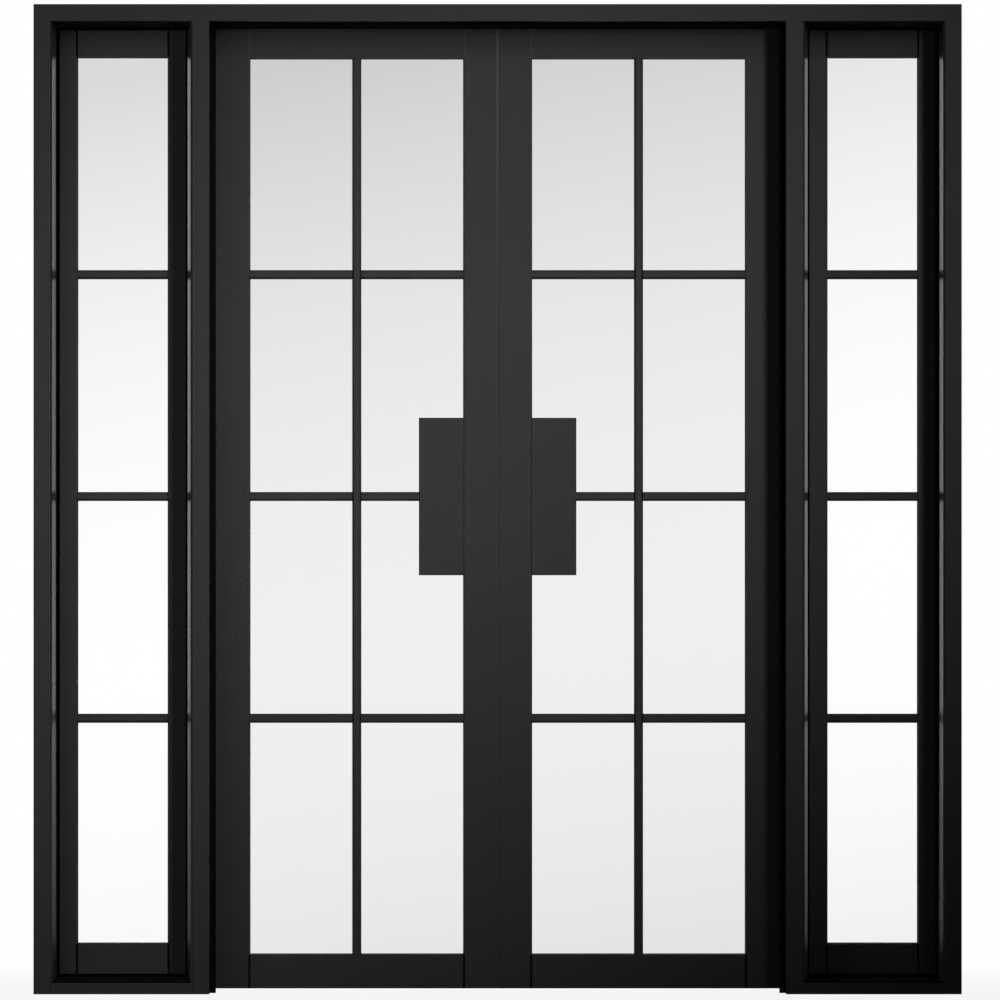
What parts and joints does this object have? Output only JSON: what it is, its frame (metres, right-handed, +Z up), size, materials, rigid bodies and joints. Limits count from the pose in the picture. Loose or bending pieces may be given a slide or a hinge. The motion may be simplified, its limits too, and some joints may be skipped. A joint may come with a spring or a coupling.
{
  "type": "glazed room divider",
  "caption": "Black-painted timber room divider: a pair of small-paned glazed doors hinged between fixed glazed sidelights in one deep frame.",
  "frame": {"origin": "on the left jamb's outer face, which goes against the wall, at floor level and at the frame's mid depth", "axes": "+X along the divider to the right, +Y from the front to the back, the way the doors open, +Z up"},
  "size_m": [1.904, 0.143, 2.031],
  "materials": {
    "black_paint": "satin black paint on timber",
    "glass": "clear toughened sheet",
    "hinge_steel": "black powder coat",
    "seal_rubber": "matt black extrusion"
  },
  "bodies": {
    "frame": {"door_head_stop": "black_paint", "door_side_stops": "black_paint", "head": "black_paint", "left_frame_hinges": "hinge_steel", "left_jamb": "black_paint", "left_mullion": "black_paint", "left_sidelight_bottom_rail": "black_paint", "left_sidelight_cross_bars": "black_paint", "left_sidelight_glass": "glass", "left_sidelight_inner_stile": "black_paint", "left_sidelight_outer_stile": "black_paint", "left_sidelight_top_rail": "black_paint", "left_sill": "black_paint", "right_frame_hinges": "hinge_steel", "right_jamb": "black_paint", "right_mullion": "black_paint", "right_sidelight_bottom_rail": "black_paint", "right_sidelight_cross_bars": "black_paint", "right_sidelight_glass": "glass", "right_sidelight_inner_stile": "black_paint", "right_sidelight_outer_stile": "black_paint", "right_sidelight_top_rail": "black_paint", "right_sill": "black_paint", "sidelight_cross_stops": "black_paint", "sidelight_side_stops": "black_paint"},
    "left_door": {"left_door_bottom_rail": "black_paint", "left_door_cross_bars": "black_paint", "left_door_glass": "glass", "left_door_hinge_stile": "black_paint", "left_door_lock_block": "black_paint", "left_door_meeting_stile": "black_paint", "left_door_top_rail": "black_paint", "left_door_upright_bar": "black_paint", "left_leaf_hinges": "hinge_steel", "meeting_seal": "seal_rubber"},
    "right_door": {"right_door_bottom_rail": "black_paint", "right_door_cross_bars": "black_paint", "right_door_glass": "glass", "right_door_hinge_stile": "black_paint", "right_door_lock_block": "black_paint", "right_door_meeting_stile": "black_paint", "right_door_top_rail": "black_paint", "right_door_upright_bar": "black_paint", "right_leaf_hinges": "hinge_steel"}
  },
  "joints": [
    {"name": "left_door_swing", "type": "hinge", "parent": "frame", "child": "left_door", "pos_m": [0.3625, 0.072, 1.0005], "axis": [0, 0, 1], "range_deg": [0, 110], "deforming": ["meeting_seal"]},
    {"name": "right_door_swing", "type": "hinge", "parent": "frame", "child": "right_door", "pos_m": [1.5415, 0.072, 1.0005], "axis": [0, 0, -1], "range_deg": [0, 110]}
  ]
}
